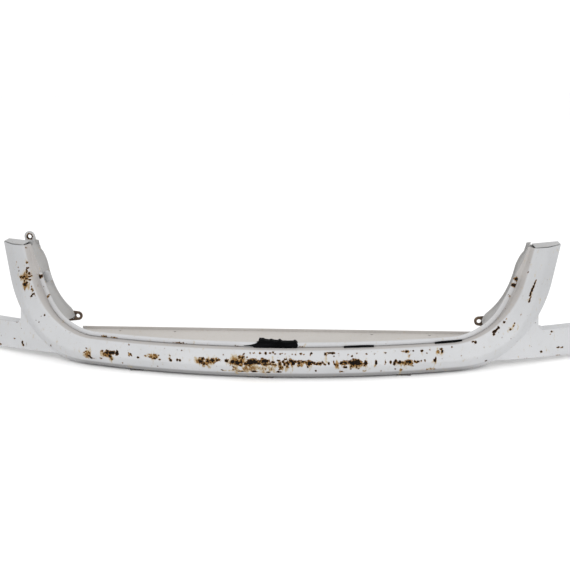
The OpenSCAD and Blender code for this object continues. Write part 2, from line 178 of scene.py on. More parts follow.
def make_mesh(name, points, faces, attributes=None, smooth_faces=True):
    mesh = bpy.data.meshes.new(name)
    mesh.from_pydata(to_frame(points).tolist(), [], [tuple(int(i) for i in f) for f in faces])
    mesh.validate()
    for key, values in (attributes or {}).items():
        layer = mesh.attributes.new(key, "FLOAT", "POINT")
        layer.data.foreach_set("value", np.asarray(values, np.float32))
    if smooth_faces:
        mesh.shade_smooth()
    obj = bpy.data.objects.new(name, mesh)
    bpy.context.scene.collection.objects.link(obj)
    return obj


def grid_faces(ids, flip=False):
    """Quads over a grid of vertex numbers, clockwise or not."""
    a, b, c, d = ids[:-1, :-1], ids[1:, :-1], ids[1:, 1:], ids[:-1, 1:]
    quads = np.stack([a, d, c, b] if flip else [a, b, c, d], -1)
    return quads.reshape(-1, 4)


def bar_faces(n, m):
    """Quads round a bar of n rings with m points each, and its two ends."""
    ids = np.arange(n * m).reshape(n, m)
    closed = np.concatenate([ids, ids[:, :1]], 1)
    return [tuple(f) for f in grid_faces(closed)] + [tuple(ids[0]), tuple(ids[-1][::-1])]


def grid_normals(grid):
    along = np.gradient(grid, axis=0)
    across = np.gradient(grid, axis=1)
    n = np.cross(along, across)
    return n / np.maximum(np.linalg.norm(n, axis=-1, keepdims=True), 1e-9)


def border(ids):
    """The vertex numbers round the edge of a grid, in order."""
    return np.concatenate([ids[:, 0], ids[-1, 1:], ids[-2::-1, -1], ids[0, -2:0:-1]])


def sheet_object(name, grid, thickness, attributes=None, towards=1):
    """A closed sheet: the given grid is one side, the other lies a thickness behind it."""
    n, m = grid.shape[:2]
    inner = grid + grid_normals(grid) * thickness * towards
    ids = np.arange(n * m).reshape(n, m)
    back = ids + n * m
    ring = border(ids)
    after = np.roll(ring, -1)
    walls = np.stack([ring, after, after + n * m, ring + n * m], -1)
    faces = np.concatenate([grid_faces(ids, towards > 0), grid_faces(back, towards <= 0),
                            walls if towards <= 0 else walls[:, ::-1]])
    points = np.concatenate([grid.reshape(-1, 3), inner.reshape(-1, 3)])
    both = {k: np.concatenate([np.ravel(v), np.ravel(v)]) for k, v in (attributes or {}).items()}
    return fix_normals(make_mesh(name, points, faces, both))


def fix_normals(obj):
    """Turns every face outward and marks the folds sharper than the crease angle."""
    bm = bmesh.new()
    bm.from_mesh(obj.data)
    bmesh.ops.recalc_face_normals(bm, faces=bm.faces)
    for e in bm.edges:
        if len(e.link_faces) == 2 and e.calc_face_angle(0) > CREASE:
            e.smooth = False
    bm.to_mesh(obj.data)
    bm.free()
    return obj


# ---------------------------------------------------------------- rust map
# The places in these tables were read, to half a millimetre, off a view of the panel laid
# flat and off marks worked back to the panel. Both used the fitted camera below. Places more
# than 620 mm from the middle on the wings were made up, as nothing is known of them.
# Each spot: length along the opening's edge from the middle, distance outward from that edge,
# half length, half width (all millimetres), and strength.
RUST = [
    (-380, 18, 2, 1.4, 0.8), (-380, 24, 2, 1.6, 1.1), (-384, 27, 2, 1.5, 0.9), (-374, 26, 2, 4, 0.8),
    (-377, 31, 4, 4, 0.8), (-374, 34, 2.5, 3, 1.3), (-371, 37, 2.5, 2, 1.5), (-381, 38, 2.5, 1.5, 0.8),
    (-364, 38, 2.5, 1, 0.7), (-348, 35.5, 2.6, 1.5, 0.9), (-344, 20, 3, 2.5, 0.9),
    (-341, 24, 3, 2.5, 0.9), (-334, 22, 4, 3.5, 1.3), (-334, 17, 2.5, 1.5, 0.9), (-338, 27, 3, 2, 1.0),
    (-327, 21, 5, 4, 1.2), (-320, 20, 5, 3, 1.8), (-311, 20, 3.4, 4, 1.9), (-311, 16, 1.5, 2, 1.2),
    (-327, 28, 4, 3, 1.1), (-323, 33, 2.2, 4, 1.0), (-284, 18, 3, 2, 0.8), (-281, 20, 3, 2, 1.0),
    (-278, 22, 2, 1.3, 0.8), (-284, 23, 1.4, 3, 0.6), (-263.5, 24.5, 2.3, 1.6, 1.8),
    (-248, 20, 3, 1.6, 0.8), (-238, 17, 3, 2, 0.95), (-237, 21, 4, 2, 0.8), (-228, 18, 4, 3, 0.95),
    (-229, 23, 4, 3, 1.2), (-226, 15.5, 2, 1.2, 0.9), (-224, 21, 1.5, 3, 1.0), (-217, 25, 2, 1.5, 1.3),
    (-219, 17, 1.2, 1.2, 0.9), (-193, 25, 2.4, 2.2, 1.8), (-196, 22, 2, 2, 0.8),
    (-195, 16, 1.6, 1.4, 0.8), (-180, 23, 2, 2, 1.8), (-174, 23, 2.2, 2, 1.8), (-285, 2, 1.6, 1.4, 0.9),
    (-207, 3, 1.3, 1.2, 0.7), (-300, 41, 1.4, 1.5, 1.0), (-171, 5, 1.4, 1.3, 1.1),
    (-236, 42, 2, 1, 0.8), (-223, 41, 1.5, 1.5, 0.8), (-450, 52, 1.4, 2, 1.2), (-131, 22, 5, 4, 1.1),
    (-127, 18, 4, 3, 1.1), (-124, 27, 5, 3, 1.0), (-116, 22, 5, 4, 0.9), (-106, 21, 5, 4.5, 1.3),
    (-96, 19, 6, 3, 1.1), (-120, 29, 3, 2, 0.9), (-134, 19, 2, 3, 0.7), (-85, 9, 2, 1.5, 0.7),
    (-78, 20, 3.5, 3, 1.5), (-65, 21, 5, 5, 1.0), (-57, 22, 6, 5, 1.2), (-52, 12, 3, 3, 1.3),
    (-46, 12, 4, 4, 1.0), (-48, 20, 5, 5, 0.9), (-43, 6, 2, 2, 0.8), (-65, 32, 2, 3, 0.7),
    (-70, 24, 3, 5, 0.7), (-50, 27, 6, 2.5, 0.9), (-38, 24, 4, 3, 1.3), (-30, 21, 7, 5, 1.7),
    (-20, 20, 6, 4, 1.7), (-13, 22, 4, 2.5, 1.2), (-24, 15, 3, 1.5, 1.1), (-36, 12, 2, 1.5, 1.1),
    (-32, 28, 3, 2.5, 0.9), (-30, 5, 1.5, 2, 0.7), (-6, 14, 3, 2, 0.9), (-2, 19, 8, 4, 1.5),
    (-1, 24, 6, 3, 1.2), (8, 24, 5, 2, 1.0), (15, 20, 3, 2, 1.5), (18, 25, 5, 2.5, 1.0),
    (26, 17, 3, 2, 0.9), (29, 23, 2.5, 5, 1.2), (30, 31, 2.5, 5, 1.0), (28, 36, 2, 2, 0.9),
    (34, 30, 2, 3, 0.9), (35, 19, 3, 2, 1.3), (38, 24, 2.5, 3, 1.3), (40, 15, 2.5, 2, 1.2),
    (44, 22, 4, 5, 1.0), (44, 30, 2.5, 4, 0.9), (50, 18, 4, 4, 1.2), (55, 21, 4, 5, 1.4),
    (60, 19, 3, 3, 1.0), (67, 22, 3, 5, 1.1), (66, 27, 3, 2, 0.8), (74, 20, 4, 4, 0.9),
    (80, 21, 3, 3, 1.1), (87, 22, 5, 5, 1.4), (84, 29, 1.6, 2.5, 1.2), (92, 20, 3, 2.5, 1.0),
    (97, 22, 3, 3, 1.1), (103, 23, 3.5, 2.5, 1.1), (108, 23, 3.5, 3, 1.3), (113, 20, 2, 2, 1.0),
    (100, 38, 1.8, 1.8, 1.5), (118, 24, 3, 3, 0.7), (125.5, 22.5, 1.6, 2.2, 1.6),
    (135, 21, 1.4, 2.6, 1.3), (137, 24.5, 2, 1.8, 1.2), (142, 25, 3, 5, 0.75), (150, 22, 3, 4, 1.2),
    (157, 22, 5, 4, 1.2), (157, 30.5, 4, 2, 1.7), (167, 21, 4, 3.5, 1.3), (173, 23, 5, 5, 1.4),
    (182, 22, 6, 5, 1.8), (173, 15, 2, 1.6, 1.2), (179, 17, 3, 2, 1.0), (170, 30, 3, 3, 0.9),
    (180, 30, 2, 4, 0.9), (190, 24, 4, 3, 1.0), (198, 24, 3.5, 4, 1.4), (195, 29, 3, 2, 0.8),
    (218.5, 23, 2, 3.5, 1.6), (216, 30, 2, 2, 0.7), (236.5, 22.5, 1.4, 3, 1.3),
    (235, 27, 1.4, 1.6, 0.9), (169, 35, 2, 1.4, 1.0), (184, 35, 1.5, 1.4, 1.0),
    (247, 24, 1.8, 3.2, 1.3), (254, 27, 2.2, 3, 1.4), (257, 22, 2.4, 3, 1.4), (265, 25, 3.5, 3, 1.5),
    (271, 26, 3, 3, 1.0), (278, 25, 4, 3.5, 1.1), (285, 25, 5, 4, 1.3), (276, 30, 4, 2.5, 0.8),
    (283, 31, 2, 2.5, 0.9), (290, 29, 3, 1.6, 0.9), (295, 25, 2.5, 2.5, 1.4), (301, 26, 3, 3, 1.1),
    (291, 34, 1.8, 1.3, 1.3), (308, 25, 1.5, 2, 0.9), (315, 24.5, 1.8, 2.2, 1.1),
    (284, 14, 1.6, 2.5, 0.7), (335, 25.5, 2.6, 2.6, 1.8), (337, 21, 1.2, 2.4, 1.3),
    (-11, 4, 2, 1.6, 1.3), (0, 4.5, 2.2, 2.2, 1.4), (9, 4, 3, 1.5, 0.9), (15, 2.5, 2, 2, 1.1),
    (19, 5, 2, 1.3, 0.9), (29, 5, 1.6, 1.4, 1.2), (33, 4, 1.5, 1.5, 0.8), (39, 5, 1.5, 1.5, 0.8),
    (53, 5, 1.3, 1.3, 1.1), (-32, 3.5, 1.5, 1.2, 0.7), (-23, 4, 3, 1.5, 0.7), (60, 5.5, 2, 1.6, 0.9),
    (70, 5, 2.5, 2.5, 0.9), (76, 6, 1.6, 1.8, 0.9), (91, 4, 2.2, 1.8, 1.4), (88.5, 7, 1.4, 1.2, 1.2),
    (119, 5, 3, 3, 1.0), (125, 3.5, 6, 1.6, 1.3), (133, 4, 3.5, 1.8, 1.5), (135, 9.5, 1.4, 1.2, 1.2),
    (144, 5, 1.5, 1.5, 0.7), (163, 7, 1.5, 1.5, 0.7), (171, 10, 1.8, 1.6, 1.5), (180, 5, 2, 2, 0.6),
    (199, 7, 1.8, 1.4, 1.3), (215, 7, 1.8, 1.4, 0.7), (237, 6, 2, 1.6, 0.7), (279, 5.5, 4.5, 2, 1.3),
    (272, 4.5, 4, 1.2, 0.9), (292, 5, 1.5, 1.3, 0.9), (309, 6, 2.4, 1.8, 1.4), (325, 5, 1.8, 1, 0.8),
    (319, 10.5, 1.3, 1.2, 0.9), (341, 10, 3, 3, 0.85), (347.5, 5, 2.4, 2, 1.5), (349.5, 9, 2, 4, 1.3),
    (369.5, 3, 1.4, 1.6, 0.9), (413, 1.5, 3.5, 1.2, 1.2), (417, 4.5, 2, 2.4, 1.5),
    (386, 21, 1.2, 1.2, 0.8), (-87, 40.5, 3, 1.4, 1.4), (-23, 41, 6, 1.8, 1.4), (5, 42.5, 4, 1.2, 1.4),
    (27, 41, 4.5, 2, 1.4), (-65, 39, 3, 3, 0.7), (-50, 42, 10, 1.2, 0.8), (150, 41, 5, 2.5, 0.65),
    (195, 41.5, 3, 1.6, 0.6), (228, 42.5, 1.4, 1.2, 1.0), (256, 39, 1.6, 2, 0.7),
    (268, 43, 3.5, 2.5, 0.7), (320, 45, 2, 2, 0.7), (328.5, 44, 2, 2.5, 0.7),
    (335, 45.5, 2.5, 1.5, 0.7), (425, 50, 1.8, 1.2, 1.3), (-634, -3, 1.6, 1.5, 0.8),
    (-604, 0.5, 2.6, 2, 0.95), (-592, 2, 2, 3, 1.1), (-587, 5, 3, 2.5, 0.9), (-580, 1, 3, 3, 1.1),
    (-574, 1, 2, 4, 1.2), (-568, 2.5, 2.2, 2.5, 1.2), (-584, 6.5, 2, 2, 1.1), (-572, 10, 2, 5, 1.1),
    (-577, 14, 2.5, 4, 1.1), (-578, 22, 2.2, 4, 1.2), (-575, 18, 2.5, 3, 0.9), (-564, 12, 3, 4, 1.0),
    (-562, 18, 4.5, 5, 1.2), (-555, 22, 3, 2, 0.85), (-568, 16, 3, 2, 0.8), (-607, 26, 2, 1.8, 0.7),
    (-597, 24, 1.6, 2, 0.7), (-590, 24.5, 1.4, 2, 0.7), (-555, 3, 2, 1.5, 0.8),
    (-549, 4.5, 2, 2.5, 1.3), (-545, 3, 1.5, 2, 1.2), (-539, 6, 1.4, 4, 1.5), (-537, 12, 1.5, 2.8, 1.5),
    (-535, 3, 2, 1, 0.9), (-491, 7.5, 2, 2.2, 1.0), (-495, 15, 1.3, 2, 0.6), (-490, 28, 1.2, 1.5, 0.7),
    (455, 8.5, 1.8, 2.2, 1.7), (457, 4, 2, 2.4, 1.7), (461, 4.5, 3, 2.2, 1.9), (466, 4, 3, 1.6, 1.8),
    (470, 3.5, 1.6, 2.6, 1.8), (484.5, 3, 2, 2, 1.6), (492, 1.5, 3, 1, 0.8), (484.5, 23, 1.8, 2, 1.2),
    (493, 23, 2, 1.3, 0.9), (497, 21, 1.3, 1.8, 1.1), (515, 20, 3, 1.2, 0.65), (543, 21, 3, 1.6, 1.3),
    (548, 20, 3, 1.4, 1.4), (552, 17.5, 2.2, 1.8, 1.6), (556, 16.5, 3, 1.6, 1.5), (562, 17, 4, 2, 1.8),
    (568, 18, 4, 1.8, 1.7), (574, 18.5, 4, 1.3, 1.5), (580, 19.5, 2, 1.2, 1.2), (591, -1, 3, 1, 0.7),
    (476, 38, 1, 1.4, 0.7), (465, 24, 1, 1.2, 0.7),
]
# Rust on the wings: x, z, half length, half height, strength
WING_RUST = [
    (-549, 21, 1.6, 3.4, 1.6), (-546.5, 16, 1.6, 3, 1.6), (-538, 18, 1.2, 5, 0.55),
    (-571, 26, 2, 1.6, 0.9), (-563, 63, 2.4, 2, 0.8), (583, 56, 2.6, 1.8, 1.3), (580, 51, 2, 1.4, 0.9),
    (560, 18, 2.2, 2.2, 1.5), (598, 22, 4, 1.6, 1.3), (606, 21, 2.4, 1.6, 1.2), (552, 5, 10, 1.8, 0.75),
    (528, 8, 7, 1.8, 0.7), (598, 6, 5, 2, 0.9), (-640, 40, 3, 2.4, 1.0), (655, 30, 4, 3, 1.0),
    (-676, 8, 9, 3, 1.0), (684, 50, 5, 5, 1.1), (-612, 8, 6, 2, 0.7),
]
# Ochre stains round and under the rust, like the rust spots
STAIN = [
    (-132, 22, 12, 8, 0.9), (-115, 24, 12, 8, 0.8), (-98, 20, 10, 4, 0.5), (-125, 33, 8, 4, 0.5),
    (-112, 34, 5, 5, 0.5), (-140, 22, 5, 4, 0.6), (-62, 20, 12, 9, 1.0), (-48, 20, 10, 10, 0.9),
    (-30, 25, 14, 8, 0.8), (-60, 36, 8, 8, 0.8), (-40, 35, 6, 10, 0.9), (-30, 35, 6, 8, 0.9),
    (-20, 32, 12, 7, 0.8), (-5, 34, 10, 8, 0.7), (10, 34, 10, 9, 0.6), (-50, 41, 30, 2.5, 0.7),
    (0, 42, 30, 2, 0.6), (0, 25, 12, 6, 0.8), (18, 27, 10, 6, 0.7), (32, 30, 6, 9, 0.8),
    (44, 30, 6, 8, 0.8), (52, 24, 8, 7, 0.7), (70, 25, 8, 5, 0.7), (88, 27, 8, 6, 0.6),
    (106, 23, 10, 4, 0.5), (120, 10, 2, 8, 0.5), (120, 20, 3, 8, 0.4), (120, 6, 4, 4, 0.7),
    (142, 26, 5, 8, 0.8), (158, 24, 10, 6, 0.7), (172, 26, 12, 8, 0.8), (186, 26, 8, 6, 0.7),
    (197, 28, 6, 6, 0.7), (216, 29, 3, 4, 0.5), (155, 40, 8, 4, 0.5), (195, 41, 5, 2.5, 0.5),
    (256, 27, 6, 5, 0.5), (272, 28, 14, 6, 0.7), (285, 28, 10, 6, 0.6), (284, 16, 3, 6, 0.4),
    (268, 42, 5, 4, 0.6), (328, 44, 12, 3, 0.5), (335, 28, 4, 4, 0.5), (341, 11, 5, 5, 0.7),
    (348, 11, 4, 4, 0.5), (309, 10, 2.5, 5, 0.4), (278, 6, 8, 4, 0.3), (-378, 31, 7, 9, 0.8),
    (-348, 35, 4, 2.5, 0.5), (-335, 24, 12, 7, 0.9), (-324, 31, 5, 7, 0.9), (-281, 20, 6, 4, 0.7),
    (-247, 21, 5, 3, 0.5), (-232, 20, 12, 6, 0.8), (-217, 25, 4, 3, 0.4), (-196, 21, 4, 6, 0.5),
    (-575, 12, 10, 12, 0.9), (-562, 16, 9, 9, 0.9), (-586, 4, 6, 4, 0.7), (-604, 0, 4, 3, 0.5),
    (-556, 22, 6, 3, 0.5), (-548, 5, 5, 4, 0.5), (-540, 14, 4, 8, 0.3), (485, 23, 4, 3, 0.5),
    (494, 22, 5, 3, 0.5), (560, 18, 22, 4, 0.25),
]


def spots(table, a, b):
    """Sum of soft ellipses over two coordinates."""
    total = np.zeros(np.shape(a))
    for ca, cb, ra, rb, strength in table:
        near = (np.abs(a - ca) < 3 * ra) & (np.abs(b - cb) < 3 * rb)
        d = ((a[near] - ca) / ra) ** 2 + ((b[near] - cb) / rb) ** 2
        total[near] = np.maximum(total[near], strength * np.exp(-d * 0.9))
    return total


# ---------------------------------------------------------------- materials
class Shader:
    """A small helper that builds a node tree round one Principled shader."""

    def __init__(self, name):
        self.material = bpy.data.materials.new(name)
        self.material.use_nodes = True
        self.tree = self.material.node_tree
        self.bsdf = self.tree.nodes["Principled BSDF"]
        self.coords = self.tree.nodes.new("ShaderNodeTexCoord").outputs["Object"]

    def link(self, source, socket):
        self.tree.links.new(source, socket)

    def value(self, socket, source):
        if isinstance(source, (int, float)):
            socket.default_value = source
        elif isinstance(source, tuple):
            socket.default_value = (*source, 1.0) if len(source) == 3 else source
        else:
            self.link(source, socket)

    def noise(self, scale, detail=4.0, rough=0.55, stretch=None, distortion=0.0):
        node = self.tree.nodes.new("ShaderNodeTexNoise")
        node.inputs["Scale"].default_value = scale
        node.inputs["Detail"].default_value = detail
        node.inputs["Roughness"].default_value = rough
        node.inputs["Distortion"].default_value = distortion
        vector = self.coords
        if stretch:
            mapping = self.tree.nodes.new("ShaderNodeMapping")
            mapping.inputs["Scale"].default_value = stretch
            self.link(self.coords, mapping.inputs["Vector"])
            vector = mapping.outputs["Vector"]
        self.link(vector, node.inputs["Vector"])
        return node.outputs["Fac"]

    def cells(self, scale):
        node = self.tree.nodes.new("ShaderNodeTexVoronoi")
        node.inputs["Scale"].default_value = scale
        self.link(self.coords, node.inputs["Vector"])
        return node.outputs["Distance"]

    def attribute(self, name):
        node = self.tree.nodes.new("ShaderNodeAttribute")
        node.attribute_name = name
        return node.outputs["Fac"]

    def ring(self, centre, inner=0.0045, outer=0.010):
        """Rust strength in a ring round a hole whose axis runs along Y."""
        node = self.tree.nodes.new("ShaderNodeVectorMath")
        node.operation = "MULTIPLY"
        self.link(self.coords, node.inputs[0])
        node.inputs[1].default_value = (1, 0, 1)
        far = self.tree.nodes.new("ShaderNodeVectorMath")
        far.operation = "DISTANCE"
        self.link(node.outputs["Vector"], far.inputs[0])
        far.inputs[1].default_value = centre
        return self.ramp(far.outputs["Value"], inner, outer, 1.0, 0.0)

    def axis(self, name):
        node = self.tree.nodes.new("ShaderNodeSeparateXYZ")
        self.link(self.coords, node.inputs[0])
        return node.outputs[name]

    def scale(self, colour, factor):
        node = self.tree.nodes.new("ShaderNodeVectorMath")
        node.operation = "SCALE"
        self.link(colour, node.inputs[0])
        self.link(factor, node.inputs["Scale"])
        return node.outputs["Vector"]

    def math(self, operation, a, b=0.0, c=0.0, clamp=False):
        node = self.tree.nodes.new("ShaderNodeMath")
        node.operation = operation
        node.use_clamp = clamp
        for socket, source in zip(node.inputs, (a, b, c)):
            self.value(socket, source)
        return node.outputs[0]

    def ramp(self, source, low, high, to_low=0.0, to_high=1.0):
        node = self.tree.nodes.new("ShaderNodeMapRange")
        node.interpolation_type = "SMOOTHSTEP"
        for key, v in (("From Min", low), ("From Max", high), ("To Min", to_low), ("To Max", to_high)):
            node.inputs[key].default_value = v
        self.link(source, node.inputs["Value"])
        return node.outputs["Result"]

    def mix(self, factor, a, b):
        node = self.tree.nodes.new("ShaderNodeMix")
        node.data_type = "RGBA"
        self.value(node.inputs["Factor"], factor)
        self.value(node.inputs["A"], a)
        self.value(node.inputs["B"], b)
        return node.outputs["Result"]

    def bump(self, height, strength, distance):
        node = self.tree.nodes.new("ShaderNodeBump")
        node.inputs["Strength"].default_value = strength
        node.inputs["Distance"].default_value = distance
        self.link(height, node.inputs["Height"])
        self.link(node.outputs["Normal"], self.bsdf.inputs["Normal"])

    def set(self, key, source):
        self.value(self.bsdf.inputs[key], source)


RUST_DARK = (0.005, 0.003, 0.002)
RUST_BROWN = (0.080, 0.034, 0.010)
RUST_OCHRE = (0.270, 0.145, 0.042)
RUST_TAN = (0.360, 0.285, 0.170)
GRIME = (0.36, 0.33, 0.30)
# Grey for the gutter beside the lip: partly dirt, partly painted shade in the recess.
GUTTER_DIRT_AND_SHADE = (0.36, 0.345, 0.335)
# Painted shade on the turned-under lower edge of the beam.
UNDERSIDE_SHADE_GREY = (0.11, 0.105, 0.10)


def paint(name, colour, shade, speckle=0.5, rough=0.38, low=1.0, high=1.0, ring=None):
    """Sprayed paint over steel, with chips, scabs and stains where the rust map says. Painted shade darkens
    it by height (from low to high) and on the turned-under lower edge; the gutter's grey is partly dirt,
    partly painted shade.
    """
    s = Shader(name)
    broad = s.noise(9, 3, 0.5)
    mid = s.noise(60, 5, 0.6)
    fine = s.noise(520, 5, 0.68)
    chip = s.noise(260, 4, 0.6, distortion=0.6)
    base = s.mix(s.ramp(broad, 0.35, 0.7), colour, shade)
    base = s.mix(s.math("MULTIPLY", s.ramp(mid, 0.52, 0.8), 0.16), base, GRIME)
    # Painted shade: the colour is scaled with height, from low at the bottom to high at the top, as light
    # falls unevenly on the panel.
    base = s.scale(base, s.ramp(s.axis("Z"), 0.02, 0.17, low, high))
    # The gutter's grey: partly dirt, partly painted shade in the recess.
    base = s.mix(s.attribute("gutter"), base, GUTTER_DIRT_AND_SHADE)
    # Painted shade along the beam's turned-under lower edge.
    base = s.mix(s.attribute("edge"), base, UNDERSIDE_SHADE_GREY)
    rust = s.attribute("rust")
    if ring:
        rust = s.ring(ring)
    present = s.ramp(rust, 0.04, 0.25)
    amount = s.math("MULTIPLY_ADD", s.math("SUBTRACT", chip, 0.5), 1.9, rust)
    amount = s.math("MULTIPLY_ADD", s.math("SUBTRACT", fine, 0.5), 0.9, amount)
    amount = s.math("MULTIPLY", amount, present)
    dots = s.ramp(s.noise(210, 1, 0.5), 0.765, 0.785, 0.0, speckle)
    halo = s.math("MAXIMUM", s.ramp(amount, 0.30, 0.44), dots)
    core = s.math("MAXIMUM", s.ramp(amount, 0.60, 0.72), s.ramp(dots, 0.3, 0.5, 0.0, 0.5))
    drip = s.noise(160, 4, 0.62, stretch=(1.0, 1.0, 0.35))
    stained = s.math("MULTIPLY_ADD", s.math("SUBTRACT", drip, 0.5), 2.0, s.attribute("stain"))
    stained = s.math("MULTIPLY_ADD", s.math("SUBTRACT", fine, 0.5), 0.8, stained)
    tan = s.ramp(stained, 0.21, 0.52, 0.0, 0.88)
    ochre = s.ramp(stained, 0.50, 0.76, 0.0, 0.95)
    out = s.mix(tan, base, RUST_TAN)
    out = s.mix(ochre, out, s.mix(s.ramp(fine, 0.4, 0.62), RUST_OCHRE, RUST_BROWN))
    out = s.mix(halo, out, s.mix(s.ramp(chip, 0.40, 0.60), RUST_OCHRE, RUST_BROWN))
    out = s.mix(core, out, s.mix(s.ramp(fine, 0.56, 0.72), RUST_DARK, RUST_BROWN))
    s.set("Base Color", out)
    s.set("Specular IOR Level", 0.10)
    s.set("Roughness", s.math("MULTIPLY_ADD", halo, 0.5, rough, clamp=True))
    peel = s.math("MULTIPLY", s.noise(700, 2, 0.5), 0.10)
    lumps = s.math("MULTIPLY", halo, s.math("ADD", fine, 0.5))
    dents = s.math("MULTIPLY_ADD", broad, 0.3, peel)
    s.bump(s.math("MULTIPLY_ADD", lumps, 0.6, dents), 0.5, 0.001)
    return s.material


def bare_rust(name):
    """Bare steel under dark, pitted rust."""
    s = Shader(name)
    mid = s.noise(90, 6, 0.65)
    fine = s.noise(520, 6, 0.7)
    pits = s.cells(380)
    tone = s.mix(s.ramp(mid, 0.32, 0.68), (0.045, 0.030, 0.022), (0.17, 0.115, 0.075))
    tone = s.mix(s.math("MULTIPLY", s.ramp(fine, 0.5, 0.75), 0.6), tone, (0.23, 0.15, 0.09))
    tone = s.mix(s.math("MULTIPLY", s.ramp(pits, 0.25, 0.05), 0.7), tone, (0.02, 0.014, 0.01))
    s.set("Base Color", tone)
    s.set("Metallic", 0.25)
    s.set("Roughness", s.ramp(fine, 0.3, 0.7, 0.6, 0.9))
    s.bump(s.math("ADD", mid, s.math("MULTIPLY", fine, 0.5)), 0.6, 0.0008)
    return s.material


def rubber(name):
    """Dull black rubber with long wrinkles."""
    s = Shader(name)
    fine = s.noise(600, 4, 0.6)
    long = s.noise(70, 4, 0.6, stretch=(0.25, 1.0, 2.0))
    s.set("Base Color", s.mix(s.ramp(long, 0.4, 0.7), (0.002, 0.002, 0.002), (0.006, 0.006, 0.007)))
    s.set("Roughness", s.ramp(long, 0.3, 0.7, 0.6, 0.8))
    s.set("Specular IOR Level", 0.02)
    s.bump(s.math("ADD", fine, long), 0.5, 0.0006)
    return s.material


def zinc(name):
    """Dark zinc plating with a little rust."""
    s = Shader(name)
    fine = s.noise(350, 5, 0.6)
    s.set("Base Color", s.mix(s.ramp(fine, 0.4, 0.7), (0.10, 0.10, 0.105), (0.07, 0.045, 0.03)))
    s.set("Metallic", 0.7)
    s.set("Roughness", s.ramp(fine, 0.3, 0.7, 0.4, 0.7))
    s.bump(fine, 0.3, 0.0004)
    return s.material


EAR_AT = (-560 * MM, 0, (232 + GROUND) * MM)
MATERIALS = {
    # Painted shade in the height factors: the white paint is 12% darker towards the post tops, the cream and
    # grey paints a little darker at the bottom.
    "white_paint": paint("white_paint", (0.475, 0.48, 0.49), (0.445, 0.45, 0.46), high=0.88),
    "cream_paint": paint("cream_paint", (0.44, 0.42, 0.40), (0.41, 0.39, 0.37), 0.3, 0.5, low=0.97),
    "grey_paint": paint("grey_paint", (0.33, 0.325, 0.32), (0.29, 0.285, 0.28), 0.4, 0.5, low=0.95),
    "bare_rusty_steel": bare_rust("bare_rusty_steel"),
    "black_rubber": rubber("black_rubber"),
    "dark_zinc": zinc("dark_zinc"),
}
# Painted shade: a darker copy of the white paint for the post caps.
CAP_SHADED_PAINT = paint("white_paint_shaded", (0.34, 0.34, 0.345), (0.31, 0.31, 0.31), 0.6)
EAR_PAINT = paint("grey_paint_ear", (0.44, 0.44, 0.44), (0.40, 0.40, 0.40), 0.4, ring=EAR_AT)
SLOT_OF = {entry["node"]: entry["material_slot"] for entry in frame["record"]["subparts"]}


def dress(obj, slot):
    """Gives a piece one of the materials, named by its slot."""
    obj.data.materials.clear()
    obj.data.materials.append(MATERIALS[slot])


def stand_for(obj, node, slot=None):
    """A finer piece that takes a CAD node's place, on its body and with its finish."""
    slot = slot or SLOT_OF[node]
    dress(obj, slot)
    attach(obj, "root")
    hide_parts(node)
    return obj


# ---------------------------------------------------------------- the white pressing
# Rows across the band, stations along the corner where a wing joins and along the rest of a post
ROWS = 78
STEP = 1.5
JOIN_STATIONS = 72
POST_STATIONS = 76
WING_COLUMNS = 110
WING_DISH = 1.2
WAVINESS = 0.175


def section_points(path):
    """The face's section, from the gutter flange to the outer edge: distances out, and depths."""
    r, e, g, b = path.ridge(), path.edge(), path.gutter_in(), path.gutter_back()
    outs = [-g - path.flange_in(), -g, -mix(0.5, 2, path.turn), 1.2 + 0 * r, 4 + 0 * r, r * 0.55, r - 3, r,
            r + 3, mix(r, e, 0.55), e - 2, e]
    rise = RIDGE_RISE
    depths = [b + path.flange_back(), b, 3.2 + 0 * r, 0.6 + 0 * r, 0 * r, -rise * 0.6 + 0 * r,
              -rise * 0.97 + 0 * r, -rise + 0 * r, -rise * 0.75 + 0 * r, EDGE_SETBACK * 0.35 + 0 * r,
              EDGE_SETBACK - 1.6 + 0 * r, EDGE_SETBACK + 0 * r]
    return np.stack(outs, -1), np.stack(depths, -1)


def refine(outs, depths, rows):
    """Resamples each section evenly along its length and rounds its bends a little."""
    run = np.concatenate([np.zeros((len(outs), 1)),
                          np.cumsum(np.hypot(np.diff(outs), np.diff(depths)), 1)], 1)
    run = run / run[:, -1:]
    t = np.linspace(0, 1, rows)
    new_outs = np.stack([np.interp(t, run[i], outs[i]) for i in range(len(outs))])
    new_depths = np.stack([np.interp(t, run[i], depths[i]) for i in range(len(outs))])
    for _ in range(3):
        new_outs[:, 1:-1] = (new_outs[:, :-2] + 2 * new_outs[:, 1:-1] + new_outs[:, 2:]) / 4
        new_depths[:, 1:-1] = (new_depths[:, :-2] + 2 * new_depths[:, 1:-1] + new_depths[:, 2:]) / 4
    return new_outs, new_depths


def wing_fraction(b):
    """Shares of the wing's length: a short first part round the notch, then the straight part."""
    return np.where(b <= 0.4, b * 0.4, mix(0.16, 1, (b - 0.4) / 0.6))


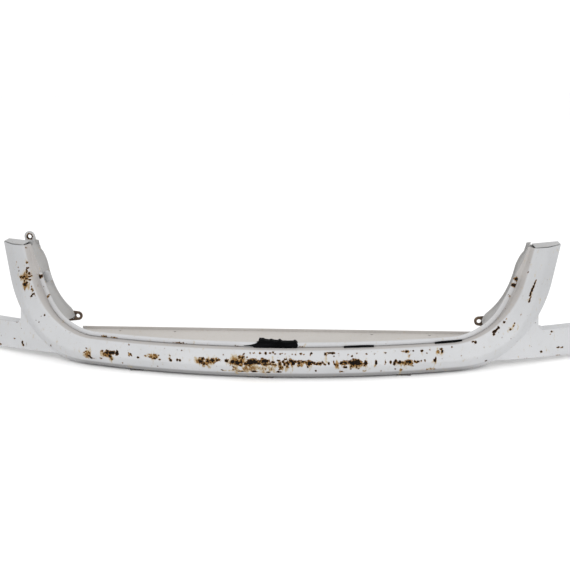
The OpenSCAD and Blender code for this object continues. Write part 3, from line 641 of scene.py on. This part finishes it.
def wing_grid(roots, columns):
    """The wing as a patch between the band's edge, the notch, the end line and the lower edge."""
    b = np.linspace(0, 1, columns)
    notch, kink = roots[0], roots[-1]
    tip_top, tip_low = np.array([HALF_WIDTH, WING_TOP_Z - 3.0]), np.array([HALF_WIDTH, float(WING_LOW_Z)])
    drop = np.clip(b / 0.2, 0, 1)
    turn = np.clip((b - 0.2) / 0.2, 0, 1) * math.pi / 2
    rest = np.clip((b - 0.4) / 0.6, 0, 1)
    top_x = notch[0] + NOTCH_R * (1 - np.cos(turn)) + rest * (HALF_WIDTH - notch[0] - NOTCH_R)
    top_z = mix(notch[1], WING_TOP_Z + NOTCH_R, drop) - NOTCH_R * np.sin(turn) - 3 * rest
    upper = np.stack([top_x, top_z], -1)
    share = wing_fraction(b)[:, None]
    lower = mix(kink, tip_low, share)
    a = np.linspace(0, 1, len(roots))[:, None, None]
    tip = mix(tip_top, tip_low, a)
    share = share[None]
    return ((1 - a) * upper + a * lower + (1 - share) * roots[:, None] + share * tip
            - (1 - a) * (1 - share) * notch - (1 - a) * share * tip_top
            - a * (1 - share) * kink - a * share * tip_low)


def build_skin():
    """The band round the opening and both wings, as one closed sheet with its rust maps."""
    wing_a = STRAIGHT_HALF + Path.ARC * WING_FIRST
    wing_b = STRAIGHT_HALF + Path.ARC * WING_LAST
    half = np.concatenate([np.linspace(0, wing_a, round(wing_a / STEP)),
                           np.linspace(wing_a, wing_b, JOIN_STATIONS)[1:],
                           np.linspace(wing_b, Path.HALF, POST_STATIONS)[1:]])
    first = round(wing_a / STEP) - 1
    last = first + JOIN_STATIONS - 1
    length = np.concatenate([-half[:0:-1], half])
    mid = len(half) - 1
    path = Path(length)
    outs, depths = refine(*section_points(path), ROWS)
    wave = WAVINESS * np.sin(length / 53) * np.sin(length / 31 + 1.0)
    grid = np.stack([path.at(outs[:, j], depths[:, j] + wave * math.sin(math.pi * j / (ROWS - 1)))
                     for j in range(ROWS)], 1)
    n = len(length)
    ids = np.arange(n * ROWS).reshape(n, ROWS)
    points = [grid.reshape(-1, 3)]
    normals = [-grid_normals(grid).reshape(-1, 3)]
    station = np.repeat(length[:, None], ROWS, 1)
    rust = spots(RUST, station, outs)
    stain = spots(STAIN, station, outs)
    # The gutter mask: where the colour goes grey, partly dirt and partly painted shade.
    gutter = smooth((-outs - 0.2) / 2.5)
    gutter = np.maximum(gutter, smooth((depths - 2.5) / 3) * (outs < 8))
    quads = [grid_faces(ids, True)]
    # Painted shade: the lowest few millimetres of the beam's face, which turn under, go dark grey.
    underside_shade = smooth((outs - path.edge()[:, None] + 9.5) / 4) * (1 - smooth(path.turn * 2.6))[:, None]
    attrs = {"rust": [rust.ravel()], "stain": [stain.ravel()], "gutter": [gutter.ravel()],
             "edge": [0.6 * underside_shade.ravel()]}
    total = n * ROWS
    columns = WING_COLUMNS
    for side in (1, -1):
        index = [mid + side * i for i in range(last, first - 1, -1)]
        roots = grid[index, -1]
        flat = np.stack([np.abs(roots[:, 0]), roots[:, 2]], -1)
        xz = wing_grid(flat, columns)
        dish = WING_DISH * np.outer(np.sin(math.pi * np.linspace(0, 1, len(index))),
                                    np.sin(math.pi * np.linspace(0, 1, columns)))
        y = face_y(xz[..., 0], xz[..., 1]) + EDGE_SETBACK + dish
        wing = np.stack([side * xz[..., 0], y, xz[..., 1]], -1)
        wing[:, 0] = roots
        wing_ids = np.concatenate([ids[index, -1][:, None],
                                   total + np.arange(len(index) * (columns - 1)).reshape(len(index), -1)], 1)
        nrm = grid_normals(wing) * (1 if side > 0 else -1)
        nrm = np.where(nrm[..., 1:2] > 0, -nrm, nrm)
        points.append(wing[:, 1:].reshape(-1, 3))
        normals.append(nrm[:, 1:].reshape(-1, 3))
        quads.append(grid_faces(wing_ids, side < 0))
        wing_rust = spots(WING_RUST, wing[..., 0], wing[..., 2])
        attrs["rust"].append(wing_rust[:, 1:].ravel())
        attrs["stain"].append(0.4 * wing_rust[:, 1:].ravel())
        attrs["gutter"].append(np.zeros(len(index) * (columns - 1)))
        attrs["edge"].append(np.zeros(len(index) * (columns - 1)))
        total += len(index) * (columns - 1)
    points = np.concatenate(points)
    normals = np.concatenate(normals)
    front = np.concatenate(quads)
    # An edge that only one quad uses is on the outline, and gets a wall
    edges = np.concatenate([front[:, [k, (k + 1) % 4]] for k in range(4)])
    keys = np.sort(edges, 1)
    code = keys[:, 0].astype(np.int64) * total + keys[:, 1]
    _, first_at, counts = np.unique(code, return_index=True, return_counts=True)
    rim = edges[first_at[counts == 1]]
    walls = np.stack([rim[:, 1], rim[:, 0], rim[:, 0] + total, rim[:, 1] + total], -1)
    back = front[:, ::-1] + total
    inner = points - normals * SHEET
    attributes = {k: np.tile(np.concatenate(v), 2) for k, v in attrs.items()}
    faces = np.concatenate([front, back, walls])
    return fix_normals(make_mesh("skin_pressing", np.concatenate([points, inner]), faces, attributes))


stand_for(build_skin(), "outer_skin")

# ---------------------------------------------------------------- seal lip
# Rust on the lip: length along the edge, place round the lip, half sizes, strength
LIP_RUST = [
    (-566, 0, 4, 9, 1.3), (-516, 0, 2, 9, 0.9), (-345, 0, 7, 3, 0.9), (-322, 0, 9, 3, 0.7),
    (-178, 0, 18, 3, 0.55), (572, 0, 6, 9, 1.0), (556, 0, 4, 9, 1.6), (70, 0, 5, 4, 0.6),
    (-60, 0, 6, 4, 0.4), (530, 0, 3, 9, 0.5),
]


def squarish(v):
    """Bends a circle's sine or cosine towards a square with round corners."""
    return np.sign(v) * np.abs(v) ** 0.75


def build_lip():
    """The raised seal lip round the opening, with tapered ends."""
    end = STRAIGHT_HALF + Path.ARC
    length = np.linspace(-end, end, 420)
    path = Path(length)
    lip_in, back, half_w, half_d = path.lip_in(), path.lip_back(), path.lip_half_w(), path.lip_half_d()
    angles = np.linspace(0, 2 * math.pi, 16, endpoint=False)
    taper = np.sqrt(np.clip(1 - ((np.abs(length) - (end - 6)) / 6.5).clip(0, 1) ** 2, 0.05, 1))
    rings = np.stack([path.at(-lip_in + half_w * squarish(math.cos(a)) * taper,
                              back + half_d * squarish(math.sin(a)) * taper) for a in angles], 1)
    n, m = rings.shape[:2]
    station = np.repeat(length[:, None], m, 1)
    round_it = np.repeat(np.cos(angles)[None, :], n, 0) * 6
    rust = spots(LIP_RUST, station, round_it - 3)
    # The lip goes darker towards the corners and posts, up to 0.3 of the gutter's grey, which is partly
    # painted shade.
    toward_gutter_colour = 0.3 * np.repeat(path.blend()[:, None], m, 1)
    attributes = {"rust": rust.ravel(), "stain": 0.6 * rust.ravel(), "gutter": toward_gutter_colour.ravel()}
    return fix_normals(make_mesh("seal_lip", rings.reshape(-1, 3), bar_faces(n, m), attributes))


stand_for(build_lip(), "seal_flange")


# ---------------------------------------------------------------- gusset plates
GUSSET_REAR_IN = 5
GUSSET_BULGE = 3
GUSSET_TAPER = 12
GUSSET_FOOT = 9
GUSSET_TURN = (-4, -2, 0, 2, 4, 6, 8)
GUSSET_FIRST = 8 / ARC_STEPS_CAD
GUSSET_TOP_GAP = 5


def gusset_front(path):
    """Depth at which a gusset leaves the gutter's flange."""
    return path.gutter_back() + path.flange_back() * 0.6 + SHEET + 1


def gusset_in(path, depth):
    """How far inward of the opening's edge a gusset lies at a depth."""
    front = gusset_front(path)
    t = smooth((depth - front) / (GUSSET_DEPTH - front))
    rear = GUSSET_REAR_IN + GUSSET_BULGE * smooth(path.turn * 2 - 1) * (1 - smooth(path.post * 1.5 - 0.5))
    rear = rear - GUSSET_TAPER * smooth(path.post * 1.1 - 0.1)
    rear = rear - GUSSET_FOOT * (1 - smooth(path.turn * 7 - 2.2))
    return mix(path.gutter_in() + path.flange_in() * 0.6 - 3 * (1 - path.blend()), rear, t)


def build_gusset(side, name):
    """A gusset plate with its rear edge turned outward."""
    start = STRAIGHT_HALF + Path.ARC * GUSSET_FIRST
    path = Path(side * np.linspace(start, Path.HALF - GUSSET_TOP_GAP, 110))
    front = gusset_front(path)
    depths = [mix(front, GUSSET_DEPTH - 2, t) for t in np.linspace(0, 1, 26)]
    columns = [path.at(-gusset_in(path, d), d) for d in depths]
    columns += [path.at(o - gusset_in(path, GUSSET_DEPTH) * (o < -3), GUSSET_DEPTH + 0 * path.x)
                for o in GUSSET_TURN]
    grid = np.stack(columns, 1)
    return stand_for(sheet_object(name + "_plate", grid, SHEET, towards=side), name)


build_gusset(-1, "left_gusset")
build_gusset(1, "right_gusset")


TONGUE_LOW = -31
TONGUE_HIGH = -5
TONGUE_ROUND = 8
TONGUE_HALF = 9
TONGUE_IN = 23
TONGUE_DEPTH = 42


def build_tongue():
    """The small round-topped bracket on the left gusset, beside the lip's upper end."""
    height = np.linspace(TONGUE_LOW, TONGUE_HIGH, 22)
    end = STRAIGHT_HALF + Path.ARC
    path = Path(-(end + height))
    rounding = ((height - TONGUE_HIGH + TONGUE_ROUND) / (TONGUE_ROUND + 0.2)).clip(0, 1)
    half = TONGUE_HALF * np.sqrt(np.clip(1 - rounding ** 2, 0.02, 1))
    across = np.linspace(-1, 1, 13)
    grid = np.stack([path.at(-(TONGUE_IN + half * a), TONGUE_DEPTH + 1.5 * a * a) for a in across], 1)
    tongue = sheet_object("left_gusset_tongue", grid, SHEET, towards=-1)
    return stand_for(tongue, "left_gusset", "white_paint")


build_tongue()

# ---------------------------------------------------------------- the torn rubber lump
# Pairs of length along the edge and height inward of it
LUMP_TOP = [(-46, 5.2), (-34, 6.6), (-24, 8.6), (-20, 10.2), (-17, 11.4), (-15.5, 18), (-12, 17.4),
            (-8, 17.6), (-2, 15.4), (4, 15.0), (9, 16.4), (14, 14.4), (21, 14.0), (26, 16.2), (30, 13.2),
            (42, 12.7), (52, 13.0), (56, 14.8), (59, 13.4), (61, 11), (63, 7)]
LUMP_LOW = [(-46, 4.4), (-34, 4.2), (-27, 3.8), (-25.5, 2.0), (-10, 1.7), (58, 1.8), (61, 2.6), (63, 5)]


def build_lump():
    """The torn rubber left in the middle of the lip."""
    rng = np.random.default_rng(7)
    length = np.arange(-46, 63.1, 0.8)
    path = Path(length)
    top = np.interp(length, *zip(*LUMP_TOP)) + rng.normal(0, 0.22, len(length))
    low = np.interp(length, *zip(*LUMP_LOW)) + rng.normal(0, 0.10, len(length))
    thick = np.interp(length, (-46, -28, -24, 63), (0.8, 1.4, 3.2, 3.2))
    front = path.lip_back() - path.lip_half_d() - thick
    back = path.lip_back() + np.interp(length, (-28, -22), (-2.5, path.lip_half_d()[0] + 2.0))
    up = np.linspace(0, 1, 13)
    columns = []
    for t in up:
        layer = 0.7 * abs(math.sin(t * 2.6 * math.pi)) + 0.25 * rng.normal(0, 1, len(length))
        columns.append(path.at(-mix(low, top, t), front + layer * thick / 3.2 + 1.2 * t))
    for t in up[::-1]:
        sag = 0.5 * math.sin(t * math.pi)
        rear = back + rng.normal(0, 0.12, len(length))
        columns.append(path.at(-mix(mix(low, top, 0.45), top, t) - sag, rear))
    grid = np.stack(columns, 1)
    return fix_normals(make_mesh("torn_rubber", grid.reshape(-1, 3), bar_faces(*grid.shape[:2])))


stand_for(build_lump(), "seal_remnant_centre")

REBUILT = ("outer_skin", "seal_flange", "left_gusset", "right_gusset", "seal_remnant_centre")
for name, node in nodes.items():
    if node.name not in REBUILT:
        dress(node, SLOT_OF[name])
for side in ("left", "right"):
    # The post caps take the darker, painted-shade copy of the white paint.
    nodes[side + "_post_cap"].data.materials[0] = CAP_SHADED_PAINT
nodes["left_upper_tab"].data.materials[0] = EAR_PAINT

# ---------------------------------------------------------------- camera, floor and light
# The camera's place and angles are a least-squares fit to points on the outline, as it came out,
# and the lens is rounded from it. Fits with the camera at 0.9 to 2.2 m were about as good.
CAMERA_AT = Vector((192.6, -1608.5 - Y_MIDDLE, 615.9 + GROUND)) * MM
CAMERA_YAW = math.radians(-5.4)
CAMERA_PITCH = math.radians(-14.8)
CAMERA_ROLL = math.radians(-0.8)
LENS = 54.5
SENSOR = 36
FLOOR_HALF = 14.0


def add_camera():
    """A camera that stands where the object is seen from in front, slightly above and to the right."""
    data = bpy.data.cameras.new("camera")
    data.lens = LENS
    data.sensor_width = SENSOR
    level = math.cos(CAMERA_PITCH)
    forward = Vector((math.sin(CAMERA_YAW) * level, math.cos(CAMERA_YAW) * level, math.sin(CAMERA_PITCH)))
    right = Vector((math.cos(CAMERA_YAW), -math.sin(CAMERA_YAW), 0))
    up = right.cross(forward)
    right_r = right * math.cos(CAMERA_ROLL) + up * math.sin(CAMERA_ROLL)
    up_r = up * math.cos(CAMERA_ROLL) - right * math.sin(CAMERA_ROLL)
    camera = bpy.data.objects.new("camera", data)
    rotation = Matrix((right_r, up_r, -forward)).transposed().to_4x4()
    camera.matrix_world = Matrix.Translation(CAMERA_AT) @ rotation
    bpy.context.scene.collection.objects.link(camera)
    bpy.context.scene.camera = camera


def add_floor():
    """A plain pale floor."""
    mesh = bpy.data.meshes.new("floor")
    corners = [(FLOOR_HALF * a, FLOOR_HALF * b, 0) for a, b in ((-1, -1), (1, -1), (1, 1), (-1, 1))]
    mesh.from_pydata(corners, [], [(0, 1, 2, 3)])
    floor = bpy.data.objects.new("floor", mesh)
    bpy.context.scene.collection.objects.link(floor)
    s = Shader("floor_white")
    tone = s.noise(1.3, 2, 0.5)
    s.set("Base Color", s.mix(s.ramp(tone, 0.3, 0.7), (0.93, 0.93, 0.93), (0.91, 0.91, 0.91)))
    s.set("Roughness", 0.9)
    mesh.materials.append(s.material)


def add_area(name, place, target, size, power):
    """A rectangular soft light turned towards a point."""
    data = bpy.data.lights.new(name, "AREA")
    data.shape = "RECTANGLE"
    data.size, data.size_y = size
    data.energy = power
    light = bpy.data.objects.new(name, data)
    light.location = place
    light.rotation_euler = (Vector(target) - Vector(place)).to_track_quat("-Z", "Y").to_euler()
    bpy.context.scene.collection.objects.link(light)


add_camera()
add_floor()
add_area("key", (0.6, -2.2, 1.6), (0, 0, 0.12), (1.8, 1.2), 26)
add_area("top", (0.0, 0.4, 3.0), (0, 0, 0.1), (3.5, 3.0), 8)
world = bpy.data.worlds.new("studio")
world.use_nodes = True
world.node_tree.nodes["Background"].inputs["Color"].default_value = (1, 1, 1, 1)
world.node_tree.nodes["Background"].inputs["Strength"].default_value = 1.1
bpy.context.scene.world = world
bpy.context.scene.view_settings.view_transform = "Standard"
